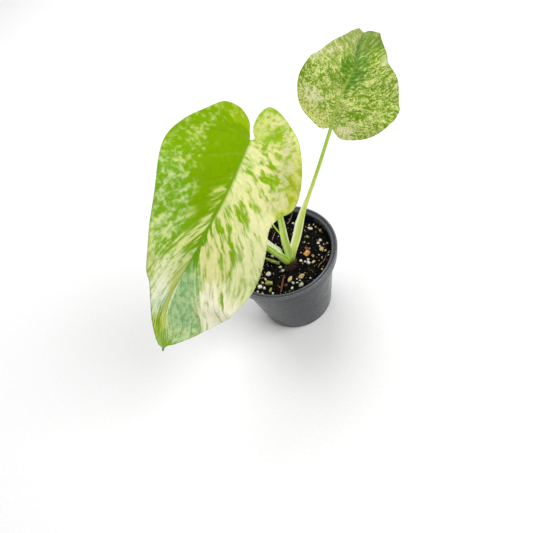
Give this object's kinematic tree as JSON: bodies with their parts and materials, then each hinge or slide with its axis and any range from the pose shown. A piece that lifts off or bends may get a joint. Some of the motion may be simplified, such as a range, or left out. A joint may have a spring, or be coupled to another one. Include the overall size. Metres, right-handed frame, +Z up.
{
  "type": "potted mint monstera",
  "caption": "Young variegated monstera with two broad marbled leaves on long stalks, rooted in potting mix in a round black plastic nursery pot.",
  "frame": {"origin": "centre of the pot's underside, on the surface that the pot stands on", "axes": "+Z up along the pot's axis; -Y is the front, where the picture was taken from; +X is to the right, under the back leaf"},
  "size_m": [0.2403, 0.1881, 0.2361],
  "materials": {
    "pot_plastic": "thin black moulded plastic, semi-gloss",
    "potting_mix": "dark peat mix with perlite grains",
    "stem": "pale green, smooth and waxy",
    "petiole": "pale green with cream streaks, satin",
    "leaf": "green marbled with cream, satin",
    "root": "olive green, matt",
    "twig": "dry reddish-brown wood",
    "bark": "dry orange-brown bark"
  },
  "bodies": {
    "root": {"pot": "pot_plastic", "soil": "potting_mix", "crown": "stem", "petiole_front": "petiole", "petiole_back": "petiole", "petiole_side": "petiole", "leaf_front": "leaf", "leaf_back": "leaf", "aerial_root": "root", "twig": "twig", "bark_chip": "bark"}
  },
  "joints": []
}
